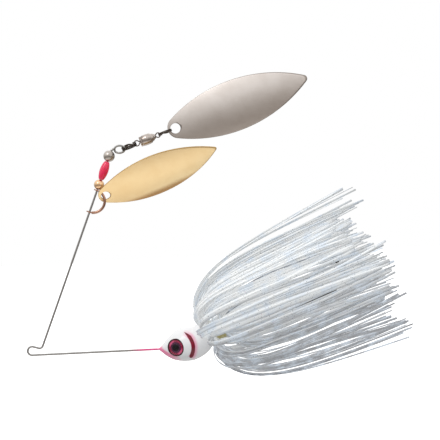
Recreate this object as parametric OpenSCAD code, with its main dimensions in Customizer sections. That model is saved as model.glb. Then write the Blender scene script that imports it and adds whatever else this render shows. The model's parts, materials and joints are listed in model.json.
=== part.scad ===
// Tandem willow-leaf spinnerbait.
// A bent wire frame carries a cast head with its hook and skirt on the lower arm, and two
// spinning blades on the upper arm. The origin is the centre of the line-tie bend, +X runs
// along the lower arm towards the tail, +Z is up, and the wire lies in the plane Y = 0.

/* [Wire frame] */
// Diameter of the frame wire
wire_d = 0.72; // [0.6:0.02:0.8]
// Centreline radius of the open line-tie bend
tie_r = 1.5; // [1.3:0.1:2]
// How far the wire dips behind the line tie before it turns up
dip_angle = 17; // [10:1:25]
// Length of the straight dip
dip_len = 2; // [1:0.1:3]
// Centreline radius of the bend at the foot of the upper arm
foot_r = 1.2; // [1:0.1:2]
// Angle of the upper arm above the lower arm
arm_angle = 68; // [55:1:80]
// Straight length of the upper arm, from the foot bend to its end loop
arm_len = 72.4; // [72:0.1:80]
// Half width and half height of the end loop, on the wire's centreline
loop_half = [1.8, 1.28];
// Radius of the loop's two round ends
loop_end_r = 1.05; // [0.95:0.05:1.2]
// How far the loop's centre stands off the end of the upper arm
loop_offset = [3, 0.33];

/* [Head] */
// Distance from the line tie to the tip of the nose
nose_x = 44.8; // [35:0.1:60]
// Angle of the hook's shank above the lower arm
shank_angle = 15; // [0:1:20]
// Largest diameter of the head
head_d = 12.3; // [11:0.1:14]
// Radius of the head's lengthwise curve
head_curve_r = 11.4; // [11:0.1:14]
// Distance from the nose to the thickest place
head_mid = 10.3; // [10:0.1:11]
// Distance from the nose to the flat back of the head
head_len = 17.6; // [16:0.1:18]
// How far the head's axis lies below the shank
head_drop = 1.2; // [0.8:0.1:1.5]
// Diameter of each eye
eye_d = 6.2; // [5:0.1:6.5]
// Distance of the eye's centre from the nose
eye_t = 5.7; // [5:0.1:7]

/* [Hook] */
// Diameter of the hook's wire
hook_d = 1.5; // [1.3:0.1:1.7]
// Distance from the nose to the start of the hook's bend
hook_len = 60; // [50:1:65]
// Gap between the shank and the point
hook_gap = 17; // [15:0.5:19]
// Straight length of the point's leg, without its taper
point_leg = 9; // [6:0.5:12]

/* [Skirt] */
// Length of the skirt behind the head
skirt_len = 66; // [50:1:75]
// Radius of the skirt at its open end
skirt_r = 27; // [20:1:30]
// Upward lean of the skirt from the shank
skirt_lean = 4.5; // [0:0.5:8]
// Width of the free space around the hook, between the skirt's halves
hook_space = 4.8; // [4.6:0.1:6]

/* [Front blade] */
// Length, width and thickness of the front blade
front_blade = [44.8, 15.6, 0.5];
// Radius of the hole in the front blade
front_hole_r = 1.6; // [1.6:0.05:1.7]
// Angle of the front blade above the lower arm
front_angle = 20; // [18:1:22]
// Roll of the front blade about its length
front_roll = 33; // [33:1:36]
// Radius of the clevis bow, on the wire's centreline
clevis_r = 4; // [4:0.05:4.2]
// Diameter of the clevis wire
clevis_d = 0.6; // [0.5:0.05:0.6]

/* [Rear blade] */
// Length, width and thickness of the rear blade
rear_blade = [52.2, 17.8, 0.6];
// Radius of the hole in the rear blade
rear_hole_r = 1.8; // [1.7:0.05:1.9]
// Angle of the swivel and the rear blade above the lower arm
chain_angle = 18.5; // [10:0.5:25]

/* [Beads] */
// Diameter of the gold bead above the clevis
gold_bead_d = 3.6; // [3.4:0.1:3.6]
// Diameter and length of the red barrel bead
red_bead = [3.1, 6.6];
// Diameter of the silver bead below the loop
silver_bead_d = 4; // [3.8:0.1:4]
// Diameter of the beads' bores
bead_bore = 1; // [0.9:0.05:1]

/* [Swivel and split rings] */
// Outer diameter and wire diameter of the front split ring
front_ring = [5.6, 0.55];
// Outer diameter and wire diameter of the rear split ring
rear_ring = [5.1, 0.4];
// Diameter and length of the swivel's barrel
barrel = [3.2, 5.65];
// Diameter of the swivel's bearing balls
ball_d = 0.6; // [0.5:0.05:0.6]
// Number of bearing balls
ball_count = 6; // [5:1:6]

/* [Hidden] */
$fn = 48;

// Two coils of a split ring overlap by this share of the wire
coil_step = 0.9;
// Centre of the bend at the foot of the upper arm, and the foot itself
foot_c = [(tie_r + foot_r) * sin(dip_angle) + dip_len * cos(dip_angle),
          (tie_r + foot_r) * cos(dip_angle) - dip_len * sin(dip_angle)];
foot = foot_c + foot_r * [sin(arm_angle), -cos(arm_angle)];
// Places on the upper arm, measured from the foot along the arm
gap = 0.1;
silver_bead_s = arm_len - silver_bead_d / 2;
red_bead_s = silver_bead_s - silver_bead_d / 2 - gap - red_bead[1] / 2;
gold_bead_s = red_bead_s - red_bead[1] / 2 - gap - gold_bead_d / 2;
ear_t = 0.5;
ear_d = 2;
clevis_s = gold_bead_s - gold_bead_d / 2 - gap - ear_t / 2 - clevis_r;
// Loop and the chain of rings behind it, measured from the centre of the loop's far end
arm_end = [foot[0] + arm_len * cos(arm_angle), foot[1] + arm_len * sin(arm_angle)];
loop_c = [arm_end[0] + loop_offset[0], arm_end[1] + loop_offset[1]];
chain_x = loop_c[0] + loop_half[0] - loop_end_r;
eye_wire = 0.4;
front_eye_hole = 0.75;
rear_eye_hole = 0.6;
// Bare stem between an eye and the barrel, at the front and at the rear
front_neck = 0.11;
rear_neck = 0.05;
// How far each ring's wire lies off the middle of what it passes through, when pulled
// tight: the loop's end, the front eye, the rear eye, and the rim of the blade's hole
loop_seat = 0.28;
front_seat = 0.36;
rear_seat = 0.31;
blade_seat = 0.26;
front_ring_mid_r = (front_ring[0] - front_ring[1]) / 2;
rear_ring_mid_r = (rear_ring[0] - rear_ring[1]) / 2;
front_ring_d = loop_seat + front_ring_mid_r;
front_eye_d = front_ring_d + front_ring_mid_r + front_seat;
barrel_d = front_eye_d + front_eye_hole + eye_wire + front_neck;
rear_eye_d = barrel_d + barrel[1] + rear_eye_hole + eye_wire + rear_neck;
rear_ring_d = rear_eye_d + rear_seat + rear_ring_mid_r;
rear_hole_d = rear_ring_d + rear_ring_mid_r + rear_hole_r - blade_seat;
// Metal between a blade's hole and its end
rim = 0.95;
// Swivel's inside, measured from the barrel's front face
stem_d = 0.7;
cap_t = 0.5;
ball_s = cap_t + 0.02 + ball_d / 2;
flange_s = ball_s + ball_d / 2 + 0.02;
flange_t = 0.4;
chamber_end = flange_s + flange_t + 0.3;
chamber_d = 2.5;
eye_disc_t = 0.25;
// Keeper on the back of the head, and the collar that grips the skirt on it
keeper_d = 3.2;
keeper_end = 24.6;
collar_t = 19.4;
collar_len = 4.5;
collar_d = 6;
collar_bore = 4.8;

// Places its children in the plane of the wire, with their +X at an angle above +X
module at(x, z, angle) {
  translate([x, 0, z]) rotate([0, -angle, 0]) children();
}

// A round bar along +X
module bar(length, d) {
  rotate([0, 90, 0]) cylinder(h = length, d = d);
}

// A bent bar around the origin, from angle a to angle b above +X. It stops just short of
// both ends, where a knuckle joins it to the next stretch
module bend(r, a, b, d) {
  short = 0.02 * 180 / PI / r;
  rotate([90, 0, 0]) rotate([0, 0, a + short]) rotate_extrude(angle = b - a - 2 * short)
    translate([r, 0]) circle(d = d);
}

// A straight stretch of bent wire along +X, with a knuckle at each end
module stretch(length, d) {
  translate([0.02, 0, 0]) bar(length - 0.04, d);
  for (x = [0, length]) translate([x, 0, 0]) sphere(d = 1.03 * d);
}

// A point on the upper arm, with +X along the arm
module on_arm(s) {
  at(foot[0] + s * cos(arm_angle), foot[1] + s * sin(arm_angle), arm_angle) children();
}

// A point on the shank's line, measured from the nose, with +X along the shank
module on_shank(t) {
  at(nose_x + t * cos(shank_angle), -tie_r + t * sin(shank_angle), shank_angle) children();
}

// A point on the chain of rings, measured from the end of the wire's loop
module on_chain(d) {
  at(chain_x + d * cos(chain_angle), loop_c[1] + d * sin(chain_angle), chain_angle)
    children();
}

// Closed oval of wire with its long axis along +X
module oval_loop() {
  c = loop_half[0] - loop_end_r;
  side_r = (c * c + loop_half[1] * loop_half[1] - loop_end_r * loop_end_r)
           / (2 * (loop_half[1] - loop_end_r));
  turn = atan2(side_r - loop_half[1], c);
  for (side = [0, 180]) rotate([0, side, 0]) {
    translate([c, 0, 0]) bend(loop_end_r, -turn, turn, wire_d);
    translate([0, 0, loop_half[1] - side_r]) bend(side_r, turn, 180 - turn, wire_d);
    for (z = [-1, 1]) translate([c + loop_end_r * cos(turn), 0, z * loop_end_r * sin(turn)])
      sphere(d = 1.03 * wire_d);
  }
}

module wire_frame() {
  neck = norm(loop_offset) - loop_half[0];
  color("silver") {
    at(0, -tie_r, 0) stretch(nose_x + 4, wire_d);
    bend(tie_r, 90 - dip_angle, 270, wire_d);
    at(tie_r * sin(dip_angle), tie_r * cos(dip_angle), -dip_angle)
      stretch(dip_len, wire_d);
    at(foot_c[0], foot_c[1], 0) bend(foot_r, -90 - dip_angle, arm_angle - 90, wire_d);
    on_arm(0) stretch(arm_len, wire_d);
    at(arm_end[0], arm_end[1], atan2(loop_offset[1], loop_offset[0])) bar(neck, wire_d);
    at(loop_c[0], loop_c[1], 0) oval_loop();
  }
}

// The head's body of revolution along +X from its nose, a lens cut off at the back
module head_body() {
  rotate([0, 90, 0]) rotate_extrude() intersection() {
    translate([head_d / 2 - head_curve_r, head_mid]) circle(r = head_curve_r, $fn = 120);
    translate([0, 0.4]) square([head_d, head_len - 0.4]);
  }
}

// Puts its children on the eye's seat, with +Z out of the head. side is 1 or -1
module on_eye(side) {
  seat_depth = 0.95;
  rise = sqrt(head_curve_r * head_curve_r - (head_mid - eye_t) * (head_mid - eye_t));
  tilt = atan2(head_mid - eye_t, rise);
  on_shank(0) translate([eye_t, side * (rise - head_curve_r + head_d / 2), -head_drop])
    rotate([0, 0, side * tilt]) rotate([-side * 90, 0, 0]) translate([0, 0, -seat_depth])
      children();
}

module head() {
  color("white") difference() {
    union() {
      on_shank(0) translate([0, 0, -head_drop]) head_body();
      on_shank(0) rotate([0, 90 - shank_angle / 2, 0])
        cylinder(h = 4, d1 = 1.5, d2 = 5.4);
      on_shank(head_len - 1) bar(keeper_end - head_len + 1, keeper_d);
      on_shank(keeper_end - 0.6) rotate([0, 90, 0])
        cylinder(h = 0.6, d1 = keeper_d + 0.6, d2 = keeper_d);
    }
    at(0, -tie_r, 0) stretch(nose_x + 4, wire_d);
    hook_body();
    for (side = [-1, 1]) on_eye(side) cylinder(h = 4, d = eye_d + 0.04);
  }
}

// The hook's eye is cast in the head. Its point leans out a little, and has a barb inside
module hook_body() {
  bend_r = hook_gap / 2;
  eye_start = 6.5;
  eye_r = 1.5;
  eye_wire_d = 1.2;
  lean = 4;
  taper = 4;
  barb_len = 2.6;
  barb_angle = 160;
  on_shank(eye_start + eye_r) {
    rotate([90, 0, 0]) rotate_extrude() translate([eye_r, 0]) circle(d = eye_wire_d);
    translate([eye_r, 0, 0]) stretch(hook_len - eye_start - 2 * eye_r, hook_d);
  }
  on_shank(hook_len) translate([0, 0, bend_r]) {
    bend(bend_r, -90, 90, hook_d);
    translate([0, 0, bend_r]) rotate([0, 180 + lean, 0]) {
      stretch(point_leg, hook_d);
      translate([point_leg, 0, 0]) rotate([0, 90, 0])
        cylinder(h = taper, d1 = hook_d, d2 = 0.1);
      translate([point_leg + 0.5, 0, 0.2 * hook_d]) rotate([0, -barb_angle, 0])
        rotate([0, 90, 0]) cylinder(h = barb_len, d1 = 0.6 * hook_d, d2 = 0.1);
    }
  }
}

module hook() { color("dimgray") hook_body(); }

module eye_disc(side) {
  color("crimson") on_eye(side) cylinder(h = eye_disc_t, d = eye_d);
}

// A clear cap on the eye's disc, part of a ball
module eye_dome(side) {
  rise = 0.9;
  ball_r = (eye_d * eye_d / 4 + rise * rise) / (2 * rise);
  color("mistyrose") on_eye(side) translate([0, 0, eye_disc_t]) intersection() {
    translate([0, 0, rise - ball_r]) sphere(r = ball_r, $fn = 96);
    cylinder(h = rise + 0.1, d = eye_d);
  }
}

module skirt_collar() {
  color("khaki") on_shank(collar_t) rotate([0, 90, 0]) difference() {
    cylinder(h = collar_len, d = collar_d);
    translate([0, 0, -1]) cylinder(h = collar_len + 2, d = collar_bore);
  }
}

// One half of the bell that the skirt's strands fill. side is 1 or -1
module skirt_half(side) {
  start = head_len + 0.4;
  tail = skirt_len;
  color("whitesmoke") difference() {
    on_shank(start) rotate([0, -skirt_lean, 0]) intersection() {
      rotate([0, 90, 0]) rotate_extrude() polygon([
        [0, 1], [2.6, 0.6], [4.9, -1.2], [8, -1.9], [12, -1.6], [16, 0.6], [19.5, 5],
        [22.5, 12], [24.8, 24], [26.4, 40], [skirt_r, tail], [0, tail]
      ]);
      translate([-10, side > 0 ? hook_space / 2 : -hook_space / 2 - 40, -40])
        cube([tail + 20, 40, 80]);
    }
    on_shank(head_len - 4) bar(keeper_end - head_len + 4.4, collar_d + 0.2);
    on_shank(0) translate([0, 0, -head_drop]) head_body();
  }
}

// Bow of wire around the origin that opens along -Z, with a pierced ear at each end.
// The arm runs through the ears along +X
module clevis() {
  color("peru") on_arm(clevis_s) difference() {
    union() {
      bend(clevis_r, -180 + 11, -11, clevis_d);
      for (side = [-1, 1]) translate([side * clevis_r - ear_t / 2, 0, 0])
        bar(ear_t, ear_d);
    }
    translate([-clevis_r - 1, 0, 0]) bar(2 * clevis_r + 2, bead_bore);
  }
}

// Points along an arc, without its first point
function arc_points(c, r, a, b, n) =
  [for (i = [1 : n]) c + r * [cos(a + (b - a) * i / n), sin(a + (b - a) * i / n)]];

// Willow leaf with its hole at the origin and its tip along +X, crowned towards -Y. Two
// arcs of one radius make the sides, and a tangent circle rounds each end
module willow_blade(size, hole_r) {
  back = hole_r + rim;
  mid = size[0] * 0.475 - back;
  half_w = size[1] / 2;
  tip_r = 0.7;
  half_l = size[0] - back - mid + 0.66 * tip_r;
  side_r = (half_l * half_l + half_w * half_w) / (2 * half_w);
  side_y = side_r - half_w;
  end_x = (mid * mid - pow(side_r - back, 2) + side_y * side_y) / (2 * (mid - side_r + back));
  tip_x = mid + sqrt(pow(side_r - tip_r, 2) - side_y * side_y);
  end_turn = atan2(side_y, end_x - mid);
  tip_turn = atan2(side_y, tip_x - mid);
  outline = concat(
    arc_points([tip_x, 0], tip_r, -tip_turn, tip_turn, 8),
    arc_points([mid, -side_y], side_r, tip_turn, end_turn, 30),
    arc_points([end_x, 0], end_x + back, end_turn, 360 - end_turn, 16),
    arc_points([mid, side_y], side_r, 360 - end_turn, 360 - tip_turn, 30)
  );
  long_r = 150;
  cross_r = 30;
  crown_angle = 14;
  crown_c = sqrt(long_r * long_r - mid * mid) - size[2] / 2;
  difference() {
    intersection() {
      rotate([90, 0, 0]) translate([0, 0, -10]) linear_extrude(20) polygon(outline);
      translate([mid, crown_c, 0]) rotate([0, 0, -90 - crown_angle])
        rotate_extrude(angle = 2 * crown_angle, $fn = 240) intersection() {
          translate([long_r - cross_r, 0]) difference() {
            circle(r = cross_r, $fn = 240);
            circle(r = cross_r - size[2], $fn = 240);
          }
          translate([long_r - 6, -half_w - 1]) square([8, size[1] + 2]);
        }
    }
    rotate([90, 0, 0]) translate([0, 0, -5]) cylinder(h = 10, r = hole_r);
  }
}

module front_blade() {
  reach = clevis_r + 0.45;
  color("gold") on_arm(clevis_s) rotate([0, arm_angle - front_angle, 0])
    translate([reach, 0, 0]) rotate([front_roll, 0, 0])
      willow_blade(front_blade, front_hole_r);
}

module rear_blade() {
  color("gainsboro") on_chain(rear_hole_d) willow_blade(rear_blade, rear_hole_r);
}

module round_bead(s, d) {
  on_arm(s) difference() {
    sphere(d = d);
    translate([-d, 0, 0]) bar(2 * d, bead_bore);
  }
}

module gold_bead() { color("goldenrod") round_bead(gold_bead_s, gold_bead_d); }

module silver_bead() { color("silver") round_bead(silver_bead_s, silver_bead_d); }

// Barrel bead with a bulging side and small flat ends
module red_bead() {
  half = red_bead[1] / 2;
  end_r = 0.85;
  bulge = red_bead[0] / 2 - end_r;
  curve_r = (half * half + bulge * bulge) / (2 * bulge);
  color("crimson") on_arm(red_bead_s) rotate([0, 90, 0]) difference() {
    rotate_extrude() intersection() {
      translate([red_bead[0] / 2 - curve_r, 0]) circle(r = curve_r, $fn = 96);
      translate([0, -half]) square([red_bead[0], red_bead[1]]);
    }
    translate([0, 0, -half - 1]) cylinder(h = 2 * half + 2, d = bead_bore);
  }
}

// Two coils of wire side by side, in the plane across the wire frame's
module split_ring(size) {
  for (side = [-1, 1]) translate([0, 0, side * coil_step * size[1] / 2])
    rotate_extrude() translate([(size[0] - size[1]) / 2, 0]) circle(d = size[1]);
}

module front_split_ring() {
  color("dimgray") on_chain(front_ring_d) split_ring(front_ring);
}

module rear_split_ring() {
  color("dimgray") on_chain(rear_ring_d) split_ring(rear_ring);
}

// A ring of wire in the plane of the frame
module wire_eye(hole_r) {
  rotate([90, 0, 0]) rotate_extrude() translate([hole_r + eye_wire / 2, 0])
    circle(d = eye_wire);
}

// Eye with a stem that turns in the barrel, held by a flange behind the balls
module swivel_front_eye() {
  neck = front_eye_hole + 0.15;
  color("dimgray") {
    on_chain(front_eye_d) difference() {
      union() {
        wire_eye(front_eye_hole);
        translate([neck, 0, 0]) bar(barrel_d - front_eye_d - neck + flange_s + 0.1, stem_d);
      }
      rotate([90, 0, 0]) translate([0, 0, -1]) cylinder(h = 2, r = front_eye_hole);
    }
    on_chain(barrel_d + flange_s) bar(flange_t, chamber_d - 0.3);
  }
}

module swivel_cap() {
  color("gray") on_chain(barrel_d) rotate([0, 90, 0]) difference() {
    cylinder(h = cap_t, d = chamber_d);
    translate([0, 0, -1]) cylinder(h = cap_t + 2, d = stem_d + 0.1);
  }
}

module swivel_balls() {
  color("silver") on_chain(barrel_d + ball_s) for (i = [0 : ball_count - 1])
    rotate([360 * i / ball_count, 0, 0]) translate([0, 0, 0.7]) sphere(d = ball_d);
}

// Turned barrel with a stepped shoulder at the front and a stepped taper at the back
module swivel_barrel() {
  r = barrel[0] / 2;
  l = barrel[1];
  color("silver") on_chain(barrel_d) rotate([0, 90, 0]) difference() {
    rotate_extrude() polygon([
      [0, 0], [r - 0.3, 0], [r, 0.35], [r, 3.7], [r - 0.25, 4], [r - 0.35, 4.5],
      [r - 0.75, 4.7], [r - 0.85, 5.2], [0.55, l], [0, l]
    ]);
    translate([0, 0, -1]) cylinder(h = chamber_end + 1, d = chamber_d);
    cylinder(h = l + 1, d = stem_d);
  }
}

// Eye with a stem that is fixed in the barrel's tail
module swivel_rear_eye() {
  stem = barrel[1] - chamber_end + 0.2;
  color("dimgray") on_chain(rear_eye_d) difference() {
    union() {
      wire_eye(rear_eye_hole);
      translate([-rear_eye_hole - eye_wire - stem, 0, 0]) bar(stem + 0.25, stem_d);
    }
    rotate([90, 0, 0]) translate([0, 0, -1]) cylinder(h = 2, r = rear_eye_hole);
  }
}

wire_frame();
head();
hook();
eye_disc(-1);  // eye_disc_left
eye_disc(1);  // eye_disc_right
eye_dome(-1);  // eye_dome_left
eye_dome(1);  // eye_dome_right
skirt_collar();
skirt_half(-1);  // skirt_left
skirt_half(1);  // skirt_right
clevis();
front_blade();
gold_bead();
red_bead();
silver_bead();
front_split_ring();
swivel_front_eye();
swivel_cap();
swivel_balls();
swivel_barrel();
swivel_rear_eye();
rear_split_ring();
rear_blade();
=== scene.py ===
"""Looks of a tandem willow-leaf spinnerbait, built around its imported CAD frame.

Shapes are worked out in millimetres in the row frame, and each mesh is stored in metres.
Left is the side of the camera, at -Y.
"""

import json
import math
import random

import bmesh
import bpy
from mathutils import Matrix, Vector


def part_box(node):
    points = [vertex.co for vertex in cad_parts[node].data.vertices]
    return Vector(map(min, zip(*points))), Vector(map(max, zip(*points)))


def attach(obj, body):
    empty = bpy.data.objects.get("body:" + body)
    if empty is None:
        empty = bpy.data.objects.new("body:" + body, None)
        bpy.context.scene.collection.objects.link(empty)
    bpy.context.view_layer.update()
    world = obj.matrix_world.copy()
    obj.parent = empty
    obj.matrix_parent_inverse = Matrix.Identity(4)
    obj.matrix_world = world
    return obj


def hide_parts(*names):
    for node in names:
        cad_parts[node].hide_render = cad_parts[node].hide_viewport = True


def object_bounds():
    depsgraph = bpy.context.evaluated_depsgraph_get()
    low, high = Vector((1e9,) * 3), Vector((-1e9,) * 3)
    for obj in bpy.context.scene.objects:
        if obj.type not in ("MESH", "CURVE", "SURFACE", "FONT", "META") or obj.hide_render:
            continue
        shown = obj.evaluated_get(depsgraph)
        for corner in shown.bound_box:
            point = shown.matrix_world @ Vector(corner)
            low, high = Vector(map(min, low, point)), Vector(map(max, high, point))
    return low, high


MM = 0.001

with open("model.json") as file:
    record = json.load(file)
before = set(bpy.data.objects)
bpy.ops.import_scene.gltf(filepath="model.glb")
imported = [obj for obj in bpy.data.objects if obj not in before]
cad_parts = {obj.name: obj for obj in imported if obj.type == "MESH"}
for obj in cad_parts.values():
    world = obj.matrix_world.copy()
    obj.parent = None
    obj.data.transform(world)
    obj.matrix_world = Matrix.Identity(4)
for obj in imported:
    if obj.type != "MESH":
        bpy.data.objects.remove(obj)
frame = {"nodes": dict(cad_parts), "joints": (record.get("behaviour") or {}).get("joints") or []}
cad_low, cad_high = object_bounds()
joints = {j["name"]: j for j in frame["joints"]}
rng = random.Random(11)


# ---------------------------------------------------------------- places in the frame


def pivot(joint):
    """A joint's place at rest, in millimetres."""
    return Vector(joints[joint]["pos_m"]) / MM


def heading(angle):
    """Unit vector in the plane of the wire, at an angle in degrees above +X."""
    return Vector((math.cos(math.radians(angle)), 0, math.sin(math.radians(angle))))


def seat(origin, along):
    """Matrix with its +X along a direction in the plane of the wire, and +Y across it."""
    x = along.normalized()
    y = Vector((0, 1, 0))
    place = Matrix((x, y, x.cross(y))).transposed().to_4x4()
    place.translation = origin
    return place


def shift(x=0.0, y=0.0, z=0.0):
    return Matrix.Translation((x, y, z))


def turn(angle, axis):
    return Matrix.Rotation(math.radians(angle), 4, axis)


# Wire frame: diameter, line tie, dip, foot bend and end loop, as on the CAD part
WIRE_D = 0.72
TIE_R = 1.5
DIP_ANGLE = 17
DIP_LEN = 2.0
FOOT_R = 1.2
ARM_ANGLE = 68
ARM_LEN = 72.4
LOOP_OFFSET = Vector((3.0, 0, 0.33))
LOOP_HALF = (1.8, 1.28)
LOOP_END_R = 1.05
# Head, measured along the shank from the nose
NOSE = Vector((44.8, 0, -TIE_R))
SHANK_ANGLE = 15
HEAD_LEN = 17.6
EYE_PLACE = (5.35, 5.03, -0.85)
EYE_TILT = 23.8
EYE_SINK = 0.95
EYE_R = 3.1
SOCKET_R = EYE_R + 0.05
EYE_DISC_T = 0.25
EYE_RISE = 0.9
KEEPER_R = 1.6
BARB_R = 1.9
COLLAR_T = 19.4
COLLAR_LEN = 4.5
COLLAR_BORE_R = 2.4
# Beads: bore, diameters of the balls, and half length, belly and end radius of the barrel
BEAD_BORE_R = 0.5
GOLD_D = 3.6
SILVER_D = 4.0
BARREL_BEAD = (3.3, 1.55, 0.82)
# Chain of rings
CHAIN = Vector(joints["swivel_spin"]["axis"])
FRONT_RING = (5.6, 0.55)
REAR_RING = (5.1, 0.4)
BALL_SEAT = 0.26
# Swivel: wire and hole radii of its eyes, how far the front one's stem runs into the barrel,
# and where along the barrel the rear one's legs start
EYE_WIRE_R = 0.2
FRONT_EYE_R, REAR_EYE_R = 0.75, 0.6
FRONT_STEM = 1.3
REAR_EYE_ROOT = 4.4
# Blades: length, width, thickness, radius of the hole
FRONT_BLADE = (44.8, 15.6, 0.5, 1.6)
FRONT_ANGLE = 20
FRONT_ROLL = 33
CLEVIS_R = 4.0
CLEVIS_REACH = 0.75
CLEVIS_WIRE = (0.47, 0.38)
BLADE_LIFT = 0.25
REAR_BLADE = (52.2, 17.8, 0.6, 1.8)
BLADE_RIM = 0.95

ARM = heading(ARM_ANGLE)
SHANK = heading(SHANK_ANGLE)
FOOT_C = (TIE_R + FOOT_R) * heading(90 - DIP_ANGLE) + DIP_LEN * heading(-DIP_ANGLE)
FOOT = FOOT_C + FOOT_R * heading(ARM_ANGLE - 90)
ARM_END = FOOT + ARM_LEN * ARM
LOOP_C = ARM_END + LOOP_OFFSET


def on_shank(t):
    return seat(NOSE + t * SHANK, SHANK)


def on_chain(point):
    return seat(point, CHAIN)


# ---------------------------------------------------------------- shapes


def arc(centre, radius, start, end, step=8.0):
    """Points of an arc in the plane of the wire, from one angle to another."""
    count = max(2, math.ceil(abs(end - start) / step))
    return [
        centre + radius * heading(start + (end - start) * i / count)
        for i in range(count + 1)
    ]


def oval(half_a, half_b, count, power=2.0):
    """Section of a sweep: a closed oval, squarer with a higher power."""
    points = []
    for i in range(count):
        a = 2 * math.pi * i / count
        c, s = math.cos(a), math.sin(a)
        points.append(
            (
                half_a * math.copysign(abs(c) ** (2 / power), c),
                half_b * math.copysign(abs(s) ** (2 / power), s),
            )
        )
    return points


def smooth_path(points, per_span=6):
    """Catmull-Rom curve through the points."""
    ends = [2 * points[0] - points[1], *points, 2 * points[-1] - points[-2]]
    path = []
    for a, b, c, d in zip(ends, ends[1:], ends[2:], ends[3:]):
        for i in range(per_span):
            t = i / per_span
            path.append(
                0.5
                * (
                    2 * b
                    + (c - a) * t
                    + (2 * a - 5 * b + 4 * c - d) * t * t
                    + (3 * b - a - 3 * c + d) * t * t * t
                )
            )
    return path + [points[-1]]


# Radius of the smallest ring at a turned piece's axis, which keeps its faces whole
AXIS_R = 0.02


class Shape:
    """Vertices, faces and a UV for each vertex, gathered in the row frame."""

    def __init__(self):
        self.points, self.faces, self.uvs = [], [], []

    def add(self, points, faces, uvs=None):
        first = len(self.points)
        self.points += points
        self.faces += [tuple(first + i for i in f) for f in faces]
        self.uvs += uvs or [(0.5, 0.5)] * len(points)

    def rings(self, rings, uvs=None, closed=False):
        """Joins rings of equal size. closed joins the last to the first, or caps end them."""
        size, count = len(rings[0]), len(rings)
        faces = []
        for i in range(count if closed else count - 1):
            a, b = i * size, (i + 1) % count * size
            faces += [
                (a + k, a + (k + 1) % size, b + (k + 1) % size, b + k) for k in range(size)
            ]
        if not closed:
            faces += [tuple(reversed(range(size)))]
            faces += [tuple((count - 1) * size + k for k in range(size))]
        flat = [p for ring in rings for p in ring]
        self.add(flat, faces, uvs)

    def sweep(self, path, section, place=None, up=(0, 1, 0), twist=None, tone=0.5):
        """Sweeps a section along a path with round ends, its second axis towards up."""
        place = place or Matrix.Identity(4)
        up = place.to_3x3() @ Vector(up)
        path, sizes = rounded([place @ Vector(p) for p in path], max(b for _, b in section))
        rings, uvs, side = [], [], None
        last = len(path) - 1
        for i, (p, size) in enumerate(zip(path, sizes)):
            along = (path[min(i + 1, last)] - path[max(i - 1, 0)]).normalized()
            side = (along.cross(up) if side is None else side).normalized()
            side = (side - along * side.dot(along)).normalized()
            top = side.cross(along)
            angle = math.radians(twist[i]) if twist else 0.0
            c, s = math.cos(angle), math.sin(angle)
            rings.append(
                [
                    p + size * ((a * c - b * s) * side + (a * s + b * c) * top)
                    for a, b in section
                ]
            )
            uvs += [(tone, i / last)] * len(section)
        self.rings(rings, uvs)

    def lathe(self, profile, place, steps=64, closed=False):
        """Turns a profile of (along, radius) about +X. closed is for a bored piece."""
        rings = [
            [
                place
                @ Vector(
                    (
                        x,
                        r * math.cos(2 * math.pi * k / steps),
                        r * math.sin(2 * math.pi * k / steps),
                    )
                )
                for k in range(steps)
            ]
            for x, r in profile
        ]
        self.rings(rings, closed=closed)


def rounded(path, radius):
    """Adds three shrinking rings at each end of a path, and gives the size of every ring."""
    turns = [math.radians(a) for a in (30, 60, 82)]
    head = (path[0] - path[1]).normalized()
    tail = (path[-1] - path[-2]).normalized()
    first = [path[0] + head * radius * math.sin(a) for a in reversed(turns)]
    last = [path[-1] + tail * radius * math.sin(a) for a in turns]
    ends = [math.cos(a) for a in turns]
    return first + path + last, ends[::-1] + [1.0] * len(path) + ends


def fillet(profile, radius, steps=5):
    """Rounds every inner corner of an open profile of (along, radius) points."""
    result = [profile[0]]
    for a, b, c in zip(profile, profile[1:], profile[2:]):
        a, b, c = Vector(a), Vector(b), Vector(c)
        cut = min(radius, (a - b).length / 2.01, (c - b).length / 2.01)
        start = b + (a - b).normalized() * cut
        end = b + (c - b).normalized() * cut
        for i in range(steps + 1):
            t = i / steps
            p = (1 - t) ** 2 * start + 2 * t * (1 - t) * b + t * t * end
            result.append((p.x, p.y))
    return result + [profile[-1]]


def bored_profile(outer, bore_r, edge=0.12):
    """Closes an outer profile with a bore, and rounds the two mouths."""
    (x0, r0), (x1, r1) = outer[0], outer[-1]
    lip = edge * 0.3
    front = [(x0 + edge, bore_r), (x0 - lip, (r0 + bore_r) / 2)]
    back = [(x1 + lip, (r1 + bore_r) / 2), (x1 - edge, bore_r)]
    return front + outer + back


def in_scene(name, data):
    """Makes an object of its data, in the scene."""
    obj = bpy.data.objects.new(name, data)
    bpy.context.scene.collection.objects.link(obj)
    return obj


def mesh_of(name, shape):
    """A shape's mesh in metres, with its faces turned outwards."""
    mesh = bpy.data.meshes.new(name)
    mesh.from_pydata([tuple(p * MM for p in point) for point in shape.points], [], shape.faces)
    layer = mesh.uv_layers.new(name="UVMap")
    for loop in mesh.loops:
        layer.data[loop.index].uv = shape.uvs[loop.vertex_index]
    work = bmesh.new()
    work.from_mesh(mesh)
    bmesh.ops.recalc_face_normals(work, faces=work.faces)
    work.to_mesh(mesh)
    work.free()
    return mesh


def smooth(mesh, sharp):
    """Smooth shading, with sharp edges where faces meet at more than an angle in degrees."""
    mesh.shade_smooth()
    mesh.set_sharp_from_angle(angle=math.radians(sharp))


def piece(name, shape, look, body, node, sharp=40):
    """Makes an object of a shape in place of a CAD node, and ties it to the frame."""
    mesh = mesh_of(name, shape)
    smooth(mesh, sharp)
    mesh.materials.append(look)
    obj = in_scene(name, mesh)
    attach(obj, body)
    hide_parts(node)
    return obj


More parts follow.
